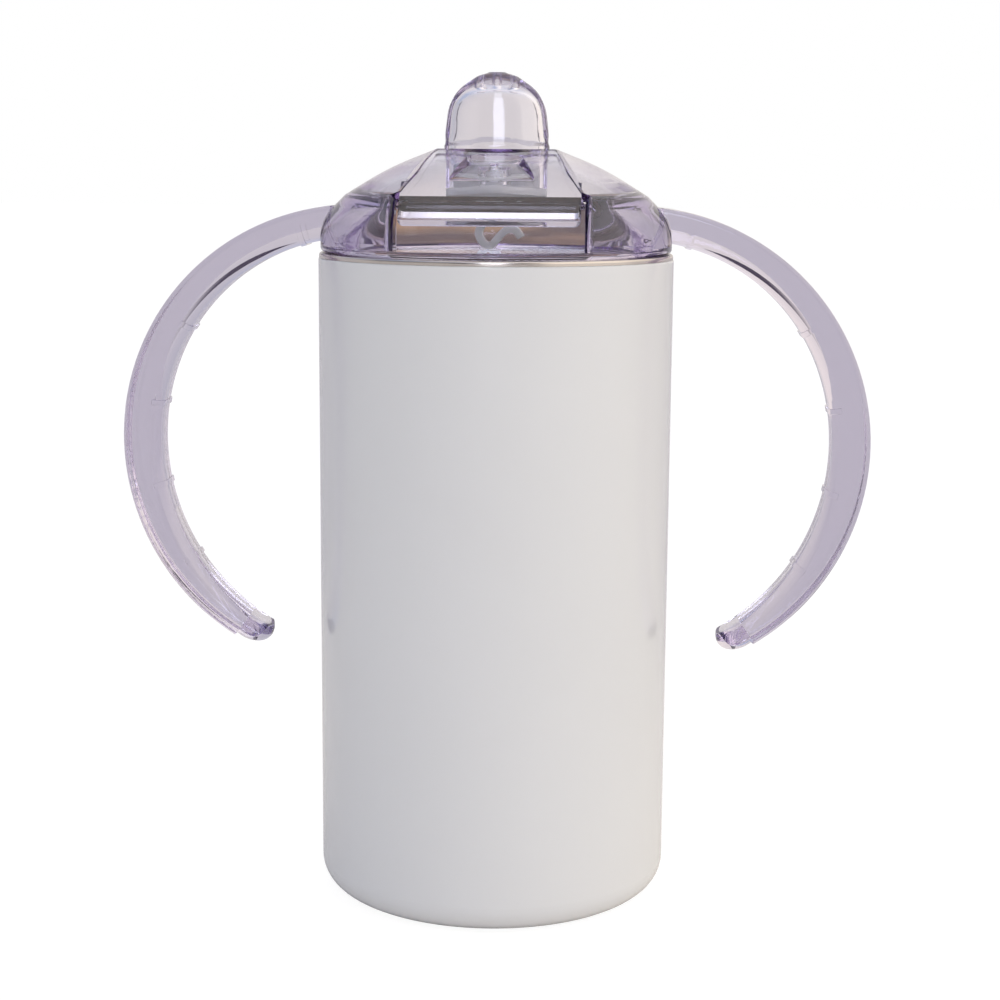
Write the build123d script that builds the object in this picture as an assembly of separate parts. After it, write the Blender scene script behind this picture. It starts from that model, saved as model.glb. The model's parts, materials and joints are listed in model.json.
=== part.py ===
from build123d import *
import os
from math import cos, radians, sin

os.makedirs("parts", exist_ok=True)

# Sippy cup: a straight double-wall steel body and a clear press-in lid with a spout,
# two curved grips and a silicone anti-spill valve. Millimetres.
# The origin is the centre of the foot and +Z runs up the cup's axis. The lid's flat
# front facet faces -Y and the grips lie along -X and +X.

# ---- Driving dimensions: steel body ----
BODY_R = 36.5               # outer radius over the white coat
RIM_Z = 134.0               # top of the steel lip
FOOT_CORNER_R = 5.9         # rounded corner between wall and foot
SHELL_WALL = 0.6            # coated outer wall
LINER_WALL = 0.5            # bare inner wall
MOUTH_R = 32.4              # inner radius of the cup
FLOOR_Z = 8.0               # drinking side of the cup's floor
LINER_CORNER_R = 6.0        # rounded corner between the liner's wall and floor
LINER_WELD_R = 24.0         # weld between the liner's wall and its base disc
LINER_CROWN = 0.6           # rise of the base disc towards its middle
LINER_CROWN_R = 12.0
LIP_HEIGHT = 1.0            # bare steel showing above the white coat
LIP_ROUND = 1.2             # rolled inner edge of the lip
LIP_INSET = 0.15            # how far the lip stays inside the coat
HEM_R = 28.4                # inner radius of the foot's upturned hem
HEM_TOP_Z = 2.6
COVER_Z = 0.8               # underside of the cover plate, recessed in the foot
PLATE = 0.5                 # thickness of pressed discs
DIMPLE_R = 3.6              # evacuation dimple in the outer base
DIMPLE_RISE = 1.2
VENT_R = 1.0                # evacuation hole

# ---- Driving dimensions: lid ----
SEAT_GAP = 0.15             # lid seat above the steel lip
SKIRT_R = 36.05             # widest radius of the shoulder ring
SHOULDER_CORNER_Z = 140.5   # where the shoulder's wall and slope would meet
SHOULDER_ROUND = 9.5
DOME_EDGE_R = 31.0          # edge between dome and shoulder
DOME_EDGE_Z = 145.6
PLATEAU_R = 12.2            # small flat top around the spout
PLATEAU_Z = 155.0
BORE_R = 28.6               # hollow inside the lid
BORE_TOP_Z = 144.8          # where the hollow's wall meets the underside of the dome
LID_WALL = 2.2              # thickness of the dome and facet
PLUG_R = 31.6               # plug that goes down into the mouth
PLUG_BOTTOM_Z = 122.0
GROOVE_R = 30.2             # gasket groove
GROOVE_Z = (124.5, 129.5)

# ---- Driving dimensions: front facet, tab and finger pocket ----
FACET_ARC = ((-5.0, 154.35), (-16.5, 150.3), (-25.7, 144.7))    # (y, z) down the facet
FACET_SLOPE = 26.0          # degrees, on average, for the wall's thickness
FACET_SIDE = [(11.5, 6.0), (12.6, -6.5), (14.7, -17.0), (18.6, -25.7), (22.6, -36.0)]
FACET_SIDE_ROUND = 12.0
FACET_SIDE_WALL = 1.6       # the hollow's facet is this much wider on each side
TAB_HALF_WIDTH = 17.6
TAB_SECTION = [             # (y, z, rounding) of the rolled lip past the facet
    (-20.0, 141.4, 0),
    (-28.9, 140.1, 0.9),
    (-29.8, 141.6, 0.9),
    (-28.6, 143.2, 1.6),
    (-25.4, 144.9, 0),
    (-20.0, 151.0, 0),
]
TAB_SOFT_EDGE = 1.2
TAB_SPARE = 0.1             # the tab is cut this much above the facet, which trims it
TAB_OVERLAP = 2.0           # and this much wider, so that it stays under the dome's sides
POCKET_HALF_WIDTH = 18.4
POCKET_FLOOR_Z = 135.4
POCKET_BACK_Y = -23.2       # flat back wall, behind the tab
POCKET_WALL = 1.3           # thickness of its back wall
POCKET_SOFT_EDGE = 1.0

# ---- Driving dimensions: vent recess in the facet ----
RECESS_FRONT = (-19.8, 148.6)   # (y, z) where the recess floor runs out of the facet
RECESS_SLOPE = 16.0
RECESS_LENGTH = 13.3
RECESS_FRONT_HALF = 8.2
RECESS_BACK_HALF = 4.4
RECESS_FRONT_ROUND = 4.0
RECESS_BACK_ROUND = 3.5
RECESS_DRAFT = 25.0
AIR_HOLE_Y = -8.6
AIR_HOLE_R = 0.8
AIR_HOLE_SINK = 0.6         # countersink around the hole
VENT_SOCKET_R = 1.9         # socket under the hole for the valve's nipple
VENT_SOCKET_TOP_Z = 149.9
VENT_SOCKET_WALL = 1.5
SOCKET_ROOF = 0.8

# ---- Driving dimensions: spout ----
SPOUT_TOP_Z = 170.3
SPOUT_FOOT = (10.75, 5.9)   # half width and half depth at the plateau
SPOUT_FOOT_Z = 155.6        # where the straight foot ends and the taper starts
SPOUT_OVALS = [             # (height, half width, half depth) up to the blunt tip
    (157.5, 10.55, 5.8),
    (159.5, 10.38, 5.72),
    (161.2, 10.2, 5.65),
    (162.8, 9.93, 5.55),
    (164.3, 9.4, 5.4),
    (165.7, 8.65, 5.1),
    (167.0, 7.6, 4.6),
    (168.1, 6.2, 3.95),
    (169.0, 4.85, 3.25),
    (169.8, 3.35, 2.4),
    (SPOUT_TOP_Z, 1.7, 1.3),
]
SPOUT_BORE = (8.85, 3.95)   # half axes of the oval bore
BORE_OVALS = [
    (159.0, 8.6, 3.85),
    (162.0, 8.3, 3.65),
    (163.8, 7.7, 3.4),
    (165.3, 6.5, 3.0),
    (166.3, 4.7, 2.4),
    (167.0, 2.0, 1.2),
]
SIP_HOLE_R = 0.9
SIP_HOLE_PITCH = 3.2
COLLAR_WALL = 1.5
COLLAR_BOTTOM_Z = 147.5

# ---- Driving dimensions: grips ----
GRIP_WIDTH = 10.6           # along Y
GRIP_OUTER_CENTRE = (28.42, 94.63)
GRIP_OUTER_R = 49.03
GRIP_INNER_CENTRE = (24.05, 94.2)
GRIP_INNER_R = 45.7
GRIP_SHOULDER_R = 41.1      # tighter inner arc towards the root
GRIP_BLEND_ANGLE = 20.0     # where the two inner arcs meet
GRIP_ROOT_ANGLE = 88.0      # arcs run on into the shoulder before they are cut
GRIP_TIP_ANGLES = (-64.8, -61.3)    # outer and inner arc ends
GRIP_OUTER_EDGE = 1.0
GRIP_INNER_EDGE = 2.7
GRIP_TIP_EGG = (3.9, 7.0, 6.0)      # half axes of the egg that rounds the free end
RIB_ANGLES = (75.0, 34.0, 10.7, -12.8, -35.5)
RIB_PROUD = 0.3
RIB_REACH = 2.2             # how far a rib comes round the bar's sides
RIB_WIDTH = 1.1
BOND_LINE = 0.04            # glue line between grip and shoulder

# ---- Driving dimensions: silicone ----
GASKET_FIT = 0.05           # clearance in the groove
GASKET_RIB_R = MOUTH_R - 0.08
GASKET_VALLEY_R = 31.2
GASKET_RIB_Z = (125.8, 128.2)
GASKET_RIB_HALF = 0.85
GASKET_RIB_LAND = 0.25
VALVE_FIT = 0.15            # clearance in the sockets
VALVE_TOP_Z = 151.8
VALVE_SKIN = 0.8
VALVE_WALL = 1.2
VALVE_TOP_ROUND = 0.5
NIPPLE_BORE_R = 0.6
FLANGE_Z = (145.9, 147.3)
SLIT = 0.25
PULL_TAB_WIDTH = 4.0
PULL_TAB_Y = -5.0
PULL_TAB_THICK = 1.5
PULL_TAB_WAVE = [           # (x, drop below the flange) along the strap
    (-1.5, -0.4), (-1.6, 4.9), (-3.2, 8.0), (-1.2, 10.3), (0.8, 8.5), (2.9, 6.9), (5.3, 8.6),
]

REACH = 60.0                # larger than any lid feature, for cutting tools
NEAR = 0.01                 # tolerance when picking edges


def turned(corners):
    """Solid turned about the cup's axis from (radius, height, corner rounding) corners."""
    points = [(r, z) for r, z, _ in corners]
    rounding = [corner_r for _, _, corner_r in corners]
    outline = FilletPolyline(*points, radius=rounding, close=True)
    return revolve(Plane.XZ * make_face(outline), Axis.Z)


def upright(sketch, low_z, high_z):
    """Sketch on the horizontal plane, raised from low_z to high_z."""
    return Pos(0, 0, low_z) * extrude(sketch, high_z - low_z)


# ---------------- steel body ----------------

def outer_shell():
    """White-coated tube with a rounded base corner and a hem turned up inside the foot."""
    top_z = RIM_Z - LIP_HEIGHT
    inner_r = BODY_R - SHELL_WALL
    inner_corner_r = FOOT_CORNER_R - SHELL_WALL
    hem_outer_r = HEM_R + SHELL_WALL
    return turned([
        (inner_r, top_z, 0),
        (BODY_R, top_z, 0.4),
        (BODY_R, 0, FOOT_CORNER_R),
        (HEM_R, 0, 0.8),
        (HEM_R, HEM_TOP_Z, 0),
        (hem_outer_r, HEM_TOP_Z, 0),
        (hem_outer_r, SHELL_WALL, 0.2),
        (inner_r, SHELL_WALL, inner_corner_r),
    ])


def outer_base():
    """Disc that closes the foot, with a dimple pressed up around the evacuation hole."""
    low_z = HEM_TOP_Z - SHELL_WALL
    dimple_top_r = DIMPLE_R - DIMPLE_RISE
    slope_wall = SHELL_WALL / 2
    return turned([
        (HEM_R, low_z, 0),
        (HEM_R, HEM_TOP_Z, 0),
        (DIMPLE_R + slope_wall, HEM_TOP_Z, 0),
        (dimple_top_r + slope_wall, HEM_TOP_Z + DIMPLE_RISE, 0),
        (VENT_R, HEM_TOP_Z + DIMPLE_RISE, 0),
        (VENT_R, low_z + DIMPLE_RISE, 0),
        (dimple_top_r, low_z + DIMPLE_RISE, 0),
        (DIMPLE_R, low_z, 0),
    ])


def seal_bead():
    """Solder glass that fills the evacuation hole and most of the dimple."""
    low_z = HEM_TOP_Z - SHELL_WALL
    roof_z = low_z + DIMPLE_RISE
    roof_r = DIMPLE_R - DIMPLE_RISE
    fill = 0.7
    return turned([
        (0, roof_z - fill, 0),
        (roof_r - fill, roof_z - fill, 0.6),
        (roof_r, roof_z, 0),
        (VENT_R, roof_z, 0),
        (VENT_R, HEM_TOP_Z + DIMPLE_RISE, 0),
        (0, HEM_TOP_Z + DIMPLE_RISE, 0),
    ])


def base_cover():
    """Thin pan pressed into the hem, the plate seen from below."""
    rim_r = HEM_R - 0.05
    roof_z = HEM_TOP_Z - SHELL_WALL
    return turned([
        (0, COVER_Z, 0),
        (rim_r, COVER_Z, 0.9),
        (rim_r, roof_z, 0),
        (rim_r - PLATE, roof_z, 0),
        (rim_r - PLATE, COVER_Z + PLATE, 0.4),
        (0, COVER_Z + PLATE, 0),
    ])


def liner_wall():
    """Inner cup wall, rolled outwards into the bare lip and inwards above the base."""
    outer_r = MOUTH_R + LINER_WALL
    lip_r = BODY_R - LIP_INSET
    return turned([
        (LINER_WELD_R, FLOOR_Z - LINER_WALL, 0),
        (outer_r, FLOOR_Z - LINER_WALL, LINER_CORNER_R + LINER_WALL),
        (outer_r, RIM_Z - LIP_HEIGHT, 0.4),
        (lip_r, RIM_Z - LIP_HEIGHT, 0),
        (lip_r, RIM_Z, 0.5),
        (MOUTH_R, RIM_Z, LIP_ROUND),
        (MOUTH_R, FLOOR_Z, LINER_CORNER_R),
        (LINER_WELD_R, FLOOR_Z, 0),
    ])


def liner_base():
    """Base disc of the liner, pressed slightly upwards."""
    bend = 20.0
    low_z = FLOOR_Z - LINER_WALL
    return turned([
        (0, low_z + LINER_CROWN, 0),
        (LINER_CROWN_R, low_z + LINER_CROWN, bend),
        (LINER_WELD_R, low_z, 0),
        (LINER_WELD_R, FLOOR_Z, 0),
        (LINER_CROWN_R, FLOOR_Z + LINER_CROWN, bend),
        (0, FLOOR_Z + LINER_CROWN, 0),
    ])


def getter_pellet():
    """Gas getter, a pressed pill welded on the vacuum side of the outer base."""
    radius = 4.0
    height = 1.8
    offset_x = 14.0
    pill = turned([
        (0, HEM_TOP_Z, 0),
        (radius, HEM_TOP_Z, 0.3),
        (radius, HEM_TOP_Z + height, 0.5),
        (0, HEM_TOP_Z + height, 0),
    ])
    return Pos(offset_x, 0, 0) * pill


# ---------------- clear lid ----------------

def lid_seat_z():
    return RIM_Z + SEAT_GAP


def shoulder_corners():
    """Outer profile from the seat up to the plateau."""
    return [
        (SKIRT_R, lid_seat_z(), 0.9),
        (SKIRT_R, SHOULDER_CORNER_Z, SHOULDER_ROUND),
        (DOME_EDGE_R, DOME_EDGE_Z, 0.4),
        (21.9, 151.2, 60.0),
        (PLATEAU_R, PLATEAU_Z, 1.0),
        (0, PLATEAU_Z, 0),
    ]


def facet_tool(depth=0.0, widen=0.0):
    """Everything above the convex facet, sunk by depth, between the facet's side creases."""
    sink = depth / cos(radians(FACET_SLOPE))
    arc = ThreePointArc(*[(y, z - sink) for y, z in FACET_ARC])
    behind = arc @ 0 - (arc % 0) * REACH / 4
    ahead = arc @ 1 + (arc % 1) * REACH
    over = Polyline(arc @ 1, ahead, (ahead.X, SPOUT_TOP_Z), (behind.X, SPOUT_TOP_Z), behind, arc @ 0)
    above = extrude(Plane.YZ * make_face([arc, over]), REACH, both=True)
    side = [(x + widen, y) for x, y in FACET_SIDE]
    outline = side + [(-x, y) for x, y in reversed(side)]
    ends = (0, len(side) - 1, len(side), len(outline) - 1)
    rounding = [0 if i in ends else FACET_SIDE_ROUND for i in range(len(outline))]
    between = make_face(FilletPolyline(*outline, radius=rounding, close=True))
    return above & upright(between, POCKET_FLOOR_Z, SPOUT_TOP_Z)


def lid_blank():
    """Shoulder, dome and grooved plug as one turned solid."""
    plug = [
        (0, PLUG_BOTTOM_Z, 0),
        (PLUG_R - 0.6, PLUG_BOTTOM_Z, 0.8),
        (PLUG_R, GROOVE_Z[0] - 0.6, 0.3),
        (PLUG_R, GROOVE_Z[0], 0.2),
        (GROOVE_R, GROOVE_Z[0], 0.3),
        (GROOVE_R, GROOVE_Z[1], 0.3),
        (PLUG_R, GROOVE_Z[1], 0.2),
        (PLUG_R, lid_seat_z(), 0.5),
    ]
    return turned(plug + shoulder_corners())


def in_front_of(y, half_width, low_z):
    """Block of everything in front of y and above low_z, within the half width."""
    front = Rectangle(2 * half_width, REACH, align=(Align.CENTER, Align.MAX))
    return Pos(0, y, 0) * upright(front, low_z, PLATEAU_Z)


def finger_pocket():
    """Block cut from the front of the shoulder, down to the ledge."""
    return in_front_of(POCKET_BACK_Y, POCKET_HALF_WIDTH, POCKET_FLOOR_Z)


def pocketed_blank():
    """Blank with the pocket cut and the pocket's upright outer edges rounded over."""
    body = lid_blank() - finger_pocket()
    low_z = POCKET_FLOOR_Z + 1

    def is_pocket_rim(edge):
        box = edge.bounding_box()
        on_side_wall = abs(abs(edge.center().X) - POCKET_HALF_WIDTH) < NEAR and box.size.X < NEAR
        return on_side_wall and box.max.Z > low_z and box.min.Y < POCKET_BACK_Y - NEAR

    return fillet(body.edges().filter_by(is_pocket_rim), POCKET_SOFT_EDGE)


def lid_hollow():
    """Open space inside the lid, which runs up under the dome and the facet."""
    rise = turned([
        (0, PLUG_BOTTOM_Z - 1, 0),
        (BORE_R, PLUG_BOTTOM_Z - 1, 0),
        (BORE_R, BORE_TOP_Z, 1.5),
        (21.3, 148.9, 58.0),
        (PLATEAU_R - 0.4, PLATEAU_Z - LID_WALL, 1.0),
        (0, PLATEAU_Z - LID_WALL, 0),
    ])
    behind_pocket = in_front_of(POCKET_BACK_Y + POCKET_WALL, BORE_R, lid_seat_z())
    return rise - facet_tool(LID_WALL, FACET_SIDE_WALL) - behind_pocket


def thumb_tab():
    """Rolled lip that overhangs the pocket where the facet ends."""
    corners = [(y, z) for y, z, _ in TAB_SECTION]
    section = FilletPolyline(*corners, radius=[r for _, _, r in TAB_SECTION], close=True)
    lip = extrude(Plane.YZ * make_face(section), TAB_HALF_WIDTH, both=True)
    front_y = TAB_SECTION[4][0]
    ends = lip.faces().filter_by(Axis.X).edges().filter_by(lambda e: e.center().Y < front_y)
    return fillet(ends, TAB_SOFT_EDGE) - facet_tool(-TAB_SPARE, TAB_OVERLAP)


def oval_column(ovals):
    """Column through horizontal ovals given as (height, half width, half depth)."""
    return loft([Pos(0, 0, z) * Ellipse(half, depth) for z, half, depth in ovals])


def spout_top(foot, ovals):
    """Tapered part of the spout or of its bore, up to the blunt tip."""
    return oval_column([(SPOUT_FOOT_Z, *foot)] + ovals)


def recess_plane():
    """Plane of the recess floor: local x along X, local y up the slope."""
    y, z = RECESS_FRONT
    slope = radians(RECESS_SLOPE)
    return Plane(origin=(0, y, z), x_dir=(1, 0, 0), z_dir=(0, -sin(slope), cos(slope)))


def recess_tool():
    """Shallow arch-shaped recess that runs out at the front of the facet."""
    half, back_half = RECESS_FRONT_HALF, RECESS_BACK_HALF
    bend_y = 1.5
    outline = FilletPolyline(
        (-half, -4), (-half, bend_y), (-back_half, RECESS_LENGTH),
        (back_half, RECESS_LENGTH), (half, bend_y), (half, -4),
        radius=[0, RECESS_FRONT_ROUND, RECESS_BACK_ROUND, RECESS_BACK_ROUND, RECESS_FRONT_ROUND, 0],
        close=True,
    )
    return recess_plane() * extrude(make_face(outline), 4.0, taper=-RECESS_DRAFT)


def air_hole_tool():
    """Vent hole with a small countersink, square to the recess floor."""
    up_slope = (AIR_HOLE_Y - RECESS_FRONT[0]) / cos(radians(RECESS_SLOPE))
    drill = Cylinder(AIR_HOLE_R, 4.0)
    sink = Pos(0, 0, 0.1) * Cone(AIR_HOLE_R, AIR_HOLE_R + AIR_HOLE_SINK, 0.5)
    return recess_plane() * Pos(0, up_slope, 0) * (drill + sink)


def vent_post(radius, low_z, high_z):
    """Upright round post centred under the vent hole."""
    return Pos(0, AIR_HOLE_Y, 0) * upright(Circle(radius), low_z, high_z)


def spout_collar():
    """Outline of the collar that holds the valve under the spout."""
    half, depth = SPOUT_BORE
    return Ellipse(half + COLLAR_WALL, depth + COLLAR_WALL)


def lid_cap():
    """The clear moulding: shoulder, dome, facet with its tab, spout, collars and plug."""
    socket_top_z = VENT_SOCKET_TOP_Z + SOCKET_ROOF
    hollow = lid_hollow() - upright(spout_collar(), COLLAR_BOTTOM_Z, PLATEAU_Z)
    hollow -= vent_post(VENT_SOCKET_R + VENT_SOCKET_WALL, COLLAR_BOTTOM_Z, socket_top_z)
    body = pocketed_blank() + thumb_tab() - facet_tool()
    body += upright(Ellipse(*SPOUT_FOOT), PLATEAU_Z - LID_WALL, SPOUT_FOOT_Z)
    body = body - recess_tool() - hollow
    body += spout_top(SPOUT_FOOT, SPOUT_OVALS)
    body -= upright(Ellipse(*SPOUT_BORE), COLLAR_BOTTOM_Z, SPOUT_FOOT_Z)
    body -= spout_top(SPOUT_BORE, BORE_OVALS)
    body -= vent_post(VENT_SOCKET_R, COLLAR_BOTTOM_Z, VENT_SOCKET_TOP_Z)
    body -= air_hole_tool()
    for step in (-1, 0, 1):
        hole = upright(Circle(SIP_HOLE_R), BORE_OVALS[2][0], SPOUT_TOP_Z + 1)
        body -= Pos(step * SIP_HOLE_PITCH, 0, 0) * hole
    return body


# ---------------- grips ----------------

def on_circle(centre, radius, angle):
    """Point (x, z) on a circle in the grip's side view."""
    turn = radians(angle)
    return (centre[0] + radius * cos(turn), centre[1] + radius * sin(turn))


def grip_outline(grow=0.0):
    """Side outline of the right-hand grip as (x, z), from root to tip and back."""
    outer_r = GRIP_OUTER_R + grow
    inner_r = GRIP_INNER_R - grow
    shoulder_r = GRIP_SHOULDER_R - grow
    shoulder_centre = on_circle(GRIP_INNER_CENTRE, GRIP_INNER_R - GRIP_SHOULDER_R, GRIP_BLEND_ANGLE)
    outer_tip, inner_tip = GRIP_TIP_ANGLES
    outer = CenterArc(GRIP_OUTER_CENTRE, outer_r, outer_tip, GRIP_ROOT_ANGLE - outer_tip)
    lower = CenterArc(GRIP_INNER_CENTRE, inner_r, inner_tip, GRIP_BLEND_ANGLE - inner_tip)
    upper = CenterArc(shoulder_centre, shoulder_r, GRIP_BLEND_ANGLE, GRIP_ROOT_ANGLE - GRIP_BLEND_ANGLE)
    return [outer, lower, upper, Line(outer @ 0, lower @ 0), Line(outer @ 1, upper @ 1)]


def grip_bar(grow=0.0):
    """Solid bar along the outline, with soft edges that are rounder on the inside."""
    width = GRIP_WIDTH + 2 * grow
    bar = extrude(Plane.XZ * make_face(grip_outline(grow)), width / 2, both=True)
    arcs = bar.edges().filter_by(GeomType.CIRCLE)
    outside = arcs.filter_by(lambda e: abs(e.radius - GRIP_OUTER_R - grow) < NEAR)
    bar = fillet(outside, GRIP_OUTER_EDGE)
    arcs = bar.edges().filter_by(GeomType.CIRCLE)
    inside_radii = (GRIP_INNER_R - grow, GRIP_SHOULDER_R - grow)
    inside = arcs.filter_by(
        lambda e: any(abs(e.radius - r) < NEAR for r in inside_radii)
        and abs(abs(e.center().Y) - width / 2) < NEAR
    )
    return fillet(inside, GRIP_INNER_EDGE)


def grip_rib(angle):
    """Moulded rib across the bar's inner face: a slice of a slightly larger bar."""
    slab_height = 2 * GRIP_WIDTH
    x, z = on_circle(GRIP_OUTER_CENTRE, GRIP_INNER_R, angle)
    slab = Pos(x, 0, z) * Rot(0, -angle, 0) * Box(slab_height, slab_height, RIB_WIDTH)
    x, z = GRIP_INNER_CENTRE
    inside = Pos(x, 0, z) * Rot(90, 0, 0) * Cylinder(GRIP_INNER_R + RIB_REACH, slab_height)
    return grip_bar(RIB_PROUD) & slab & inside


def rounded_tip(bar):
    """The bar with its free end rounded by an egg, whose widest section stays outside the bar."""
    outer_end = on_circle(GRIP_OUTER_CENTRE, GRIP_OUTER_R, GRIP_TIP_ANGLES[0])
    inner_end = on_circle(GRIP_INNER_CENTRE, GRIP_INNER_R, GRIP_TIP_ANGLES[1])
    out = Vector(outer_end[0] - inner_end[0], 0, outer_end[1] - inner_end[1]).normalized()
    along = Vector(out.Z, 0, -out.X)
    middle = Vector((outer_end[0] + inner_end[0]) / 2, 0, (outer_end[1] + inner_end[1]) / 2)
    start = Plane(origin=middle - along * GRIP_TIP_EGG[2], x_dir=out, z_dir=along)
    egg = start * scale(Sphere(1), by=GRIP_TIP_EGG)
    on_start = (Align.CENTER, Align.CENTER, Align.MIN)
    beyond = start * Box(REACH / 2, REACH / 2, REACH / 2, align=on_start)
    return (bar - beyond) + (bar & beyond & egg)


def grip():
    """Right-hand grip, cut to seat on the shoulder with a thin glue line."""
    bar = rounded_tip(grip_bar())
    for angle in RIB_ANGLES:
        bar += grip_rib(angle)
    shoulder = turned([(0, lid_seat_z(), 0)] + shoulder_corners())
    return bar - offset(shoulder, BOND_LINE)


# ---------------- silicone ----------------

def lid_gasket():
    """Ring in the plug's groove with two sealing ribs."""
    low_z, high_z = GROOVE_Z[0] + 2 * GASKET_FIT, GROOVE_Z[1] - 2 * GASKET_FIT
    inner_r = GROOVE_R + GASKET_FIT
    corners = [(inner_r, low_z, 0.3), (GASKET_VALLEY_R, low_z, 0.2)]
    for rib_z in GASKET_RIB_Z:
        corners += [
            (GASKET_VALLEY_R, rib_z - GASKET_RIB_HALF, 0.1),
            (GASKET_RIB_R, rib_z - GASKET_RIB_LAND, 0.1),
            (GASKET_RIB_R, rib_z + GASKET_RIB_LAND, 0.1),
            (GASKET_VALLEY_R, rib_z + GASKET_RIB_HALF, 0.1),
        ]
    corners += [(GASKET_VALLEY_R, high_z, 0.2), (inner_r, high_z, 0.3)]
    return turned(corners)


def spill_valve():
    """Spout cup and vent nipple on one flange, with a wavy pull tab underneath."""
    half, depth = SPOUT_BORE
    low_z, high_z = FLANGE_Z
    nipple_top_z = VENT_SOCKET_TOP_Z - VALVE_FIT
    vent_lobe = Pos(0, AIR_HOLE_Y) * Circle(VENT_SOCKET_R + VENT_SOCKET_WALL)
    valve = upright(make_hull(spout_collar().edges() + vent_lobe.edges()), low_z, high_z)
    cup = upright(Ellipse(half - VALVE_FIT, depth - VALVE_FIT), low_z, VALVE_TOP_Z)
    valve += fillet(cup.faces().sort_by(Axis.Z)[-1].edges(), VALVE_TOP_ROUND)
    valve += vent_post(VENT_SOCKET_R - VALVE_FIT, low_z, nipple_top_z)
    cup_inside = Ellipse(half - VALVE_WALL, depth - VALVE_WALL)
    valve -= upright(cup_inside, low_z, VALVE_TOP_Z - VALVE_SKIN)
    valve -= vent_post(NIPPLE_BORE_R, low_z, nipple_top_z)
    for length, width in ((half, SLIT), (SLIT, depth)):
        valve -= upright(Rectangle(length, width), VALVE_TOP_Z - VALVE_SKIN, VALVE_TOP_Z)
    return valve + pull_tab()


def pull_tab():
    """Strap that hangs from the flange, dips in a U and ends in a hook."""
    wave = Spline([(x, FLANGE_Z[0] - drop) for x, drop in PULL_TAB_WAVE])
    strap = Plane.XZ * trace(wave, PULL_TAB_THICK)
    return Pos(0, PULL_TAB_Y, 0) * extrude(strap, PULL_TAB_WIDTH / 2, both=True)


right_grip = grip()
nodes = {
    "outer_shell": outer_shell(),
    "outer_base": outer_base(),
    "base_cover": base_cover(),
    "seal_bead": seal_bead(),
    "getter_pellet": getter_pellet(),
    "liner_wall": liner_wall(),
    "liner_base": liner_base(),
    "lid_cap": lid_cap(),
    "handle_right": right_grip,
    "handle_left": mirror(right_grip, about=Plane.YZ),
    "lid_gasket": lid_gasket(),
    "spill_valve": spill_valve(),
}

for name, solid in nodes.items():
    export_step(solid, f"parts/{name}.step")
    print(name, round(solid.volume, 1), solid.bounding_box())
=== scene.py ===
import json
import math

import bpy
from mathutils import Euler, Matrix, Vector


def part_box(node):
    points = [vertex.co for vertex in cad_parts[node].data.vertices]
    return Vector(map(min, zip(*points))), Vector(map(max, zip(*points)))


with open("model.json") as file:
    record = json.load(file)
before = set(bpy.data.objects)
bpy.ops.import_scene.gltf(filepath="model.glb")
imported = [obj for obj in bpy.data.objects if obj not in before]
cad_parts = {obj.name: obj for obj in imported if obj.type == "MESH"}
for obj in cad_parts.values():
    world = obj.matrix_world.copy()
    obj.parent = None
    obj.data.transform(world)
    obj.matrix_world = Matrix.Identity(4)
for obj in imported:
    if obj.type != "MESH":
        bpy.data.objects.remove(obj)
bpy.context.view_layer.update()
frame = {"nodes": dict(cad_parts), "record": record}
scene = bpy.context.scene

MM = 0.001


# ---------------- camera ----------------

CAMERA_PLACE = Vector((1.143, -412.0, 152.994)) * MM
CAMERA_TURN = 2.8           # degrees round the cup towards +X
CAMERA_TILT = 9.742         # degrees down from level
CAMERA_ROLL = 0.405         # degrees
CAMERA_LENS = 71.52         # millimetres on a 36 mm sensor

camera_data = bpy.data.cameras.new("camera")
camera_data.sensor_width = 36.0
camera_data.lens = CAMERA_LENS
camera_data.clip_start = 0.01
camera_data.clip_end = 50.0
camera = bpy.data.objects.new("camera", camera_data)
pitch = math.radians(90.0 - CAMERA_TILT)
roll = Euler((0.0, 0.0, math.radians(CAMERA_ROLL))).to_matrix()
turn = Matrix.Rotation(math.radians(CAMERA_TURN), 4, "Z")
aim = (Euler((pitch, 0.0, 0.0)).to_matrix() @ roll).to_4x4()
camera.matrix_world = turn @ Matrix.Translation(CAMERA_PLACE) @ aim
scene.collection.objects.link(camera)
scene.camera = camera
scene.view_settings.view_transform = "Standard"
# Light is reflected many times inside clear plastic before it comes out.
scene.cycles.max_bounces = 32
scene.cycles.glossy_bounces = 24
scene.cycles.transmission_bounces = 32


# ---------------- node helpers ----------------

class Graph:
    """A material's or world's node tree, with short calls to add and join nodes."""

    def __init__(self, tree):
        self.tree = tree
        tree.nodes.clear()

    def add(self, kind, inputs=None, **settings):
        node = self.tree.nodes.new(kind)
        for name, value in settings.items():
            setattr(node, name, value)
        for key, value in (inputs or {}).items():
            if isinstance(value, bpy.types.NodeSocket):
                self.tree.links.new(value, node.inputs[key])
            else:
                node.inputs[key].default_value = value
        return node

    def link(self, output, node, key):
        self.tree.links.new(output, node.inputs[key])


def new_material(name):
    material = bpy.data.materials.new(name)
    material.use_nodes = True
    return material, Graph(material.node_tree)


def rgba(red, green, blue):
    return (red, green, blue, 1.0)


# ---------------- materials ----------------

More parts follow.
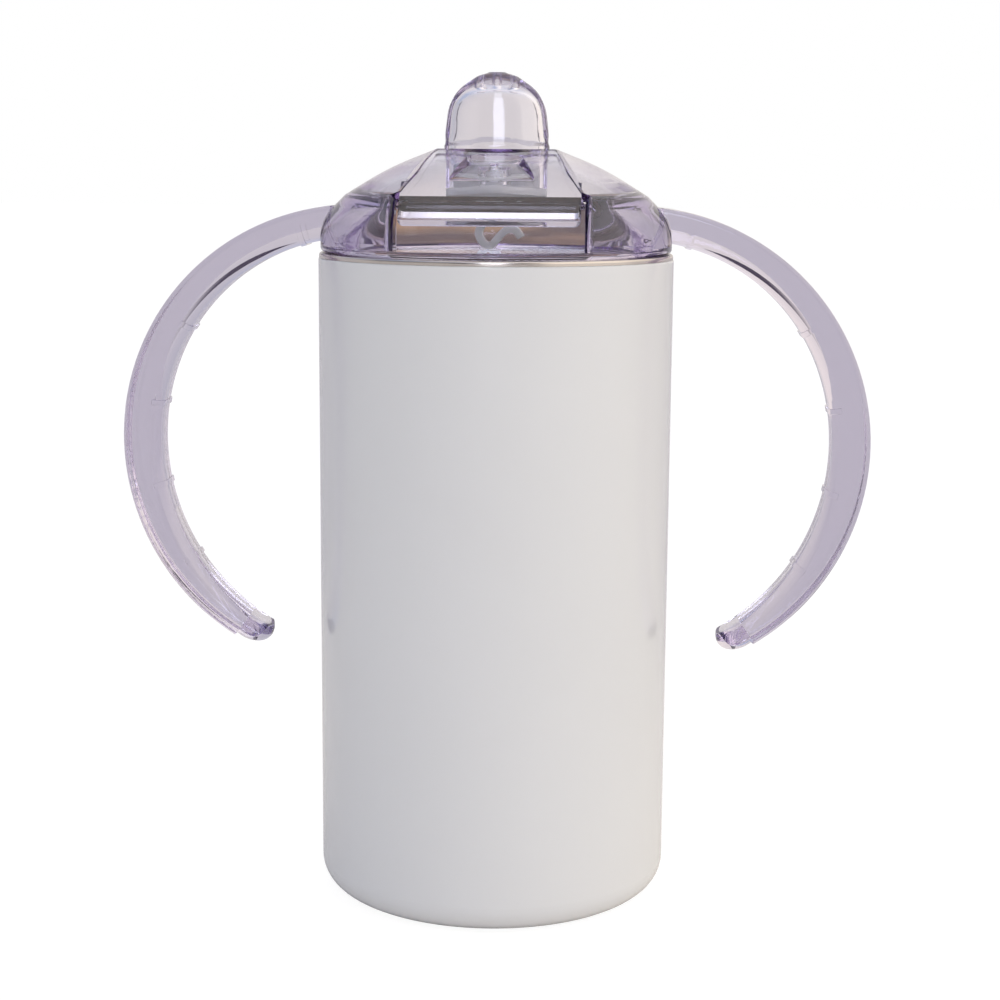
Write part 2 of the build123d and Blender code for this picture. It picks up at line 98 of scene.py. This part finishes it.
def clear_plastic(name, tint, density):
    """Polished clear plastic: transmission, a tint that grows with depth, and faint flow ripple."""
    material, g = new_material(name)
    coords = g.add("ShaderNodeTexCoord")
    ripple = g.add("ShaderNodeTexNoise", {"Vector": coords.outputs["Object"], "Scale": 55.0, "Detail": 1.0})
    bump = g.add("ShaderNodeBump", {"Strength": 0.05, "Distance": 0.0006, "Height": ripple.outputs["Fac"]})
    scuff = g.add("ShaderNodeTexNoise", {"Vector": coords.outputs["Object"], "Scale": 900.0, "Detail": 3.0})
    rough = g.add("ShaderNodeMapRange", {"Value": scuff.outputs["Fac"], "From Min": 0.45, "From Max": 0.75,
                                         "To Min": 0.0, "To Max": 0.05})
    shader = g.add("ShaderNodeBsdfPrincipled", {
        "Base Color": rgba(0.99, 0.985, 1.0), "Transmission Weight": 1.0, "IOR": 1.49,
        "Roughness": rough.outputs["Result"], "Normal": bump.outputs["Normal"],
    })
    volume = g.add("ShaderNodeVolumeAbsorption", {"Color": tint, "Density": density})
    out = g.add("ShaderNodeOutputMaterial")
    g.link(shader.outputs["BSDF"], out, "Surface")
    g.link(volume.outputs["Volume"], out, "Volume")
    return material


def white_coat():
    """Thick glossy white polymer coat with a faint orange peel."""
    material, g = new_material("white_coat")
    coords = g.add("ShaderNodeTexCoord")
    peel = g.add("ShaderNodeTexNoise", {"Vector": coords.outputs["Object"], "Scale": 260.0, "Detail": 2.0})
    bump = g.add("ShaderNodeBump", {"Strength": 0.06, "Distance": 0.0002, "Height": peel.outputs["Fac"]})
    cloud = g.add("ShaderNodeTexNoise", {"Vector": coords.outputs["Object"], "Scale": 30.0, "Detail": 3.0})
    tone = g.add("ShaderNodeMix", {"Factor": cloud.outputs["Fac"], 6: rgba(0.745, 0.745, 0.74),
                                   7: rgba(0.785, 0.785, 0.78)}, data_type="RGBA")
    rough = g.add("ShaderNodeMapRange", {"Value": cloud.outputs["Fac"], "To Min": 0.14, "To Max": 0.24})
    shader = g.add("ShaderNodeBsdfPrincipled", {
        "Base Color": tone.outputs[2], "Roughness": rough.outputs["Result"],
        "Normal": bump.outputs["Normal"], "Coat Weight": 0.6, "Coat Roughness": 0.06,
    })
    g.link(shader.outputs["BSDF"], g.add("ShaderNodeOutputMaterial"), "Surface")
    return material


def steel():
    """Satin stainless steel with fine turned lines around the cup's axis."""
    material, g = new_material("bare_steel")
    coords = g.add("ShaderNodeTexCoord")
    stretch = g.add("ShaderNodeMapping", {"Vector": coords.outputs["Object"], "Scale": (40.0, 40.0, 6000.0)})
    lines = g.add("ShaderNodeTexNoise", {"Vector": stretch.outputs["Vector"], "Scale": 1.0, "Detail": 3.0})
    bump = g.add("ShaderNodeBump", {"Strength": 0.15, "Distance": 0.00005, "Height": lines.outputs["Fac"]})
    rough = g.add("ShaderNodeMapRange", {"Value": lines.outputs["Fac"], "To Min": 0.14, "To Max": 0.26})
    shader = g.add("ShaderNodeBsdfPrincipled", {
        "Base Color": rgba(0.66, 0.60, 0.56), "Metallic": 1.0, "Roughness": rough.outputs["Result"],
        "Normal": bump.outputs["Normal"],
    })
    g.link(shader.outputs["BSDF"], g.add("ShaderNodeOutputMaterial"), "Surface")
    return material


def silicone():
    """Milky translucent silicone."""
    material, g = new_material("silicone")
    coords = g.add("ShaderNodeTexCoord")
    haze = g.add("ShaderNodeTexNoise", {"Vector": coords.outputs["Object"], "Scale": 120.0, "Detail": 3.0})
    rough = g.add("ShaderNodeMapRange", {"Value": haze.outputs["Fac"], "To Min": 0.28, "To Max": 0.45})
    tone = g.add("ShaderNodeMix", {"Factor": haze.outputs["Fac"], 6: rgba(0.92, 0.95, 1.0),
                                   7: rgba(0.97, 0.98, 1.0)}, data_type="RGBA")
    grain = g.add("ShaderNodeTexNoise", {"Vector": coords.outputs["Object"], "Scale": 900.0, "Detail": 2.0})
    bump = g.add("ShaderNodeBump", {"Strength": 0.12, "Distance": 0.0001, "Height": grain.outputs["Fac"]})
    shader = g.add("ShaderNodeBsdfPrincipled", {
        "Base Color": tone.outputs[2], "Roughness": rough.outputs["Result"], "IOR": 1.41,
        "Normal": bump.outputs["Normal"],
        "Subsurface Weight": 0.8, "Subsurface Scale": 0.0015, "Subsurface Radius": (1.0, 1.0, 1.0),
    })
    g.link(shader.outputs["BSDF"], g.add("ShaderNodeOutputMaterial"), "Surface")
    return material


def plain(name, colour, roughness, metallic=0.0):
    """Finely grained surface of one colour, for the hidden pieces."""
    material, g = new_material(name)
    coords = g.add("ShaderNodeTexCoord")
    grain = g.add("ShaderNodeTexNoise", {"Vector": coords.outputs["Object"], "Scale": 1500.0, "Detail": 3.0})
    bump = g.add("ShaderNodeBump", {"Strength": 0.3, "Distance": 0.0001, "Height": grain.outputs["Fac"]})
    rough = g.add("ShaderNodeMapRange", {"Value": grain.outputs["Fac"], "To Min": roughness * 0.8,
                                         "To Max": roughness * 1.2})
    shader = g.add("ShaderNodeBsdfPrincipled", {
        "Base Color": colour, "Roughness": rough.outputs["Result"], "Metallic": metallic,
        "Normal": bump.outputs["Normal"],
    })
    g.link(shader.outputs["BSDF"], g.add("ShaderNodeOutputMaterial"), "Surface")
    return material


LILAC = rgba(0.60, 0.50, 0.73)
LILAC_DENSITY = 48.0        # per metre
finishes = {
    "white_coat": white_coat(),
    "bare_steel": steel(),
    "clear_lilac_plastic": clear_plastic("lid_plastic", LILAC, LILAC_DENSITY),
    "silicone": silicone(),
    "solder_glass": plain("solder_glass", rgba(0.05, 0.06, 0.08), 0.15),
    "getter_metal": plain("getter_metal", rgba(0.12, 0.12, 0.12), 0.8, 1.0),
}
slot_of = {part["node"]: part["material_slot"] for part in frame["record"]["subparts"]}
for name, node in frame["nodes"].items():
    node.data.materials.clear()
    node.data.materials.append(finishes[slot_of[name]])


# ---------------- floor and light ----------------

def is_camera_ray(g):
    return g.add("ShaderNodeLightPath").outputs["Is Camera Ray"]


def math_node(g, operation, first, second=0.0):
    return g.add("ShaderNodeMath", {0: first, 1: second}, operation=operation).outputs["Value"]


def ramp(g, value, start, end):
    """Goes smoothly from 0 at start to 1 at end."""
    return g.add("ShaderNodeMapRange", {"Value": value, "From Min": start, "From Max": end},
                 interpolation_type="SMOOTHSTEP").outputs["Result"]


def mix_colours(g, factor, low, high):
    return g.add("ShaderNodeMix", {0: factor, 6: low, 7: high}, data_type="RGBA").outputs[2]


def stage_mesh(name, points, faces, surface_of):
    """Stage piece: its points, its faces and its surface shader."""
    mesh = bpy.data.meshes.new(name)
    mesh.from_pydata(points, [], faces)
    plane = bpy.data.objects.new(name, mesh)
    scene.collection.objects.link(plane)
    material, g = new_material(name)
    g.link(surface_of(g), g.add("ShaderNodeOutputMaterial"), "Surface")
    mesh.materials.append(material)


def mix_shaders(g, factor, first, second):
    return g.add("ShaderNodeMixShader", {0: factor, 1: first, 2: second}).outputs["Shader"]


def emission(g, colour, strength=1.0):
    return g.add("ShaderNodeEmission", {"Color": colour, "Strength": strength}).outputs["Emission"]


def nothing(g):
    return g.add("ShaderNodeBsdfTransparent").outputs["BSDF"]


def floor_surface(g):
    """Matt floor, pale around the cup and greyer behind; the camera sees it almost white.

    From below it is clear, and a small light in it, hidden under the cup, lights the foot.
    """
    place = g.add("ShaderNodeTexCoord")
    split = g.add("ShaderNodeSeparateXYZ", {"Vector": place.outputs["Object"]})
    x, y = split.outputs["X"], split.outputs["Y"]
    colour = mix_colours(g, ramp(g, y, 0.08, 0.35), rgba(0.80, 0.77, 0.74), rgba(0.63, 0.61, 0.635))
    matt = g.add("ShaderNodeBsdfPrincipled", {"Base Color": colour, "Roughness": 0.9}).outputs["BSDF"]
    glow = emission(g, rgba(1, 1, 1), 1.15)
    top = mix_shaders(g, math_node(g, "MULTIPLY", is_camera_ray(g), 0.8), matt, glow)
    radius_squared = math_node(g, "ADD", math_node(g, "MULTIPLY", x, x), math_node(g, "MULTIPLY", y, y))
    under_cup = math_node(g, "LESS_THAN", radius_squared, FOOT_LIGHT_R ** 2)
    top = mix_shaders(g, under_cup, top, emission(g, rgba(0.75, 0.75, 0.75)))
    from_below = g.add("ShaderNodeNewGeometry").outputs["Backfacing"]
    return mix_shaders(g, from_below, top, nothing(g))


def refracted_only(g, shader):
    """The shader for rays that come out of clear plastic, and nothing for all other rays."""
    refracted = g.add("ShaderNodeLightPath").outputs["Is Transmission Ray"]
    return mix_shaders(g, refracted, nothing(g), shader)


def painted_brown_reflection_surface(g):
    """Painted brown reflection: a glowing brown strip with soft streaks, seen only through clear plastic,
    standing in for the steel's warm reflection.
    """
    place = g.add("ShaderNodeTexCoord")
    stretch = g.add("ShaderNodeMapping", {"Vector": place.outputs["Object"], "Scale": (28.0, 1.0, 300.0)})
    streaks = g.add("ShaderNodeTexNoise", {"Vector": stretch.outputs["Vector"], "Scale": 1.0, "Detail": 1.0})
    tone = ramp(g, streaks.outputs["Fac"], 0.42, 0.68)
    colour = mix_colours(g, tone, rgba(0.16, 0.115, 0.105), rgba(0.50, 0.33, 0.20))
    return refracted_only(g, emission(g, colour))


def painted_dark_line_surface(g):
    """Painted dark lines: a dark card, seen only through clear plastic, that fades out towards the floor."""
    place = g.add("ShaderNodeNewGeometry").outputs["Position"]
    height = g.add("ShaderNodeSeparateXYZ", {"Vector": place}).outputs["Z"]
    return refracted_only(g, mix_shaders(g, ramp(g, height, 0.05, 0.30), nothing(g), emission(g, PAINTED_DARK_LINE)))


# Colour of the painted dark lines along the grips' inner edges.
PAINTED_DARK_LINE = rgba(0.07, 0.055, 0.09)
FLOOR_REACH = 6.0
FOOT_LIGHT_R = 0.028
REFLECTION_STRIP_CLEARANCE = 0.0025     # between the painted brown reflection strip and the lid's shoulder
REFLECTION_STRIP_Z = (0.120, 0.1395)
REFLECTION_STRIP_HALF_ANGLE, REFLECTION_STRIP_STEPS = 62.0, 24
CARD_Y, CARD_X, CARD_TOP = 1.2, (0.345, 0.50), 0.6

corners = [(-FLOOR_REACH, -FLOOR_REACH, 0), (FLOOR_REACH, -FLOOR_REACH, 0), (FLOOR_REACH, FLOOR_REACH, 0),
           (-FLOOR_REACH, FLOOR_REACH, 0)]
stage_mesh("floor", corners, [(0, 1, 2, 3)], floor_surface)
# The painted brown reflection is a glowing strip bent round the back of the lid's shoulder, seen only
# through the plastic.
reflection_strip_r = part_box("lid_cap")[1][0] + REFLECTION_STRIP_CLEARANCE
points = []
for step in range(REFLECTION_STRIP_STEPS + 1):
    angle = math.radians(90.0 + CAMERA_TURN + REFLECTION_STRIP_HALF_ANGLE * (2 * step / REFLECTION_STRIP_STEPS - 1))
    points += [(reflection_strip_r * math.cos(angle), reflection_strip_r * math.sin(angle), z) for z in REFLECTION_STRIP_Z]
faces = [(2 * step, 2 * step + 1, 2 * step + 3, 2 * step + 2) for step in range(REFLECTION_STRIP_STEPS)]
stage_mesh("painted_brown_reflection", points, faces, painted_brown_reflection_surface)
# Two upright dark cards far behind, outside the grips and seen only through the plastic, paint dark lines
# along the grips' inner edges.
for side_name, sign in (("left", -1), ("right", 1)):
    corners = [turn @ Vector((sign * x, CARD_Y, z)) for x, z in (
        (CARD_X[0], 0.001), (CARD_X[1], 0.001), (CARD_X[1], CARD_TOP), (CARD_X[0], CARD_TOP))]
    stage_mesh(f"painted_dark_line_card_{side_name}", corners, [(0, 1, 2, 3)], painted_dark_line_surface)

world = bpy.data.worlds.new("studio")
scene.world = world
world.use_nodes = True
g = Graph(world.node_tree)
direction = g.add("ShaderNodeTexCoord")
split = g.add("ShaderNodeSeparateXYZ", {"Vector": direction.outputs["Generated"]})
# Azimuth is 0 towards the front (-Y) and grows towards +X; both angles are in degrees.
minus_y = math_node(g, "MULTIPLY", split.outputs["Y"], -1.0)
azimuth = math_node(g, "MULTIPLY", math_node(g, "ARCTAN2", split.outputs["X"], minus_y), 180 / math.pi)
elevation = math_node(g, "MULTIPLY", math_node(g, "ARCSINE", split.outputs["Z"]), 180 / math.pi)
side = math_node(g, "ABSOLUTE", azimuth)


def box_light(g, room, colour, azimuths, elevations, soft):
    """Adds a soft-edged bright patch between two azimuths and two elevations."""
    mask = 1.0
    for value, (low, high) in ((azimuth, azimuths), (elevation, elevations)):
        inside = math_node(g, "MULTIPLY", ramp(g, value, low - soft, low + soft),
                           ramp(g, value, high + soft, high - soft))
        mask = math_node(g, "MULTIPLY", inside, mask)
    return mix_colours(g, mask, room, colour)


# The room is dark and cool to the left, brighter and warmer to the right; then come the surround
# behind the cup, the dark camera side, the light from above, the window and the lamp strip.
room = mix_colours(g, ramp(g, azimuth, -150.0, 120.0), rgba(0.05, 0.07, 0.12), rgba(0.86, 0.80, 0.72))
rightward = split.outputs["X"]
behind = mix_colours(g, ramp(g, rightward, -0.9, 0.9), rgba(0.56, 0.56, 0.60), rgba(1.04, 0.97, 0.88))
room = mix_colours(g, ramp(g, side, 72.0, 100.0), room, behind)
room = mix_colours(g, ramp(g, side, 36.0, 20.0), room, rgba(0.05, 0.05, 0.06))
above = mix_colours(g, ramp(g, rightward, -0.8, 0.8), rgba(0.42, 0.50, 0.68), rgba(1.22, 1.17, 1.10))
room = mix_colours(g, ramp(g, elevation, 12.0, 55.0), room, above)
room = mix_colours(g, ramp(g, elevation, 58.0, 72.0), room, rgba(1.1, 1.08, 1.08))
room = box_light(g, room, rgba(1.42, 1.33, 1.20), (34.0, 100.0), (-30.0, 50.0), 1.5)
room = box_light(g, room, rgba(4.3, 4.5, 5.2), (-6.0, 7.5), (1.0, 40.0), 1.0)
seen = mix_colours(g, is_camera_ray(g), room, rgba(1, 1, 1))
background = g.add("ShaderNodeBackground", {"Color": seen, "Strength": 1.0})
g.link(background.outputs["Background"], g.add("ShaderNodeOutputWorld"), "Surface")
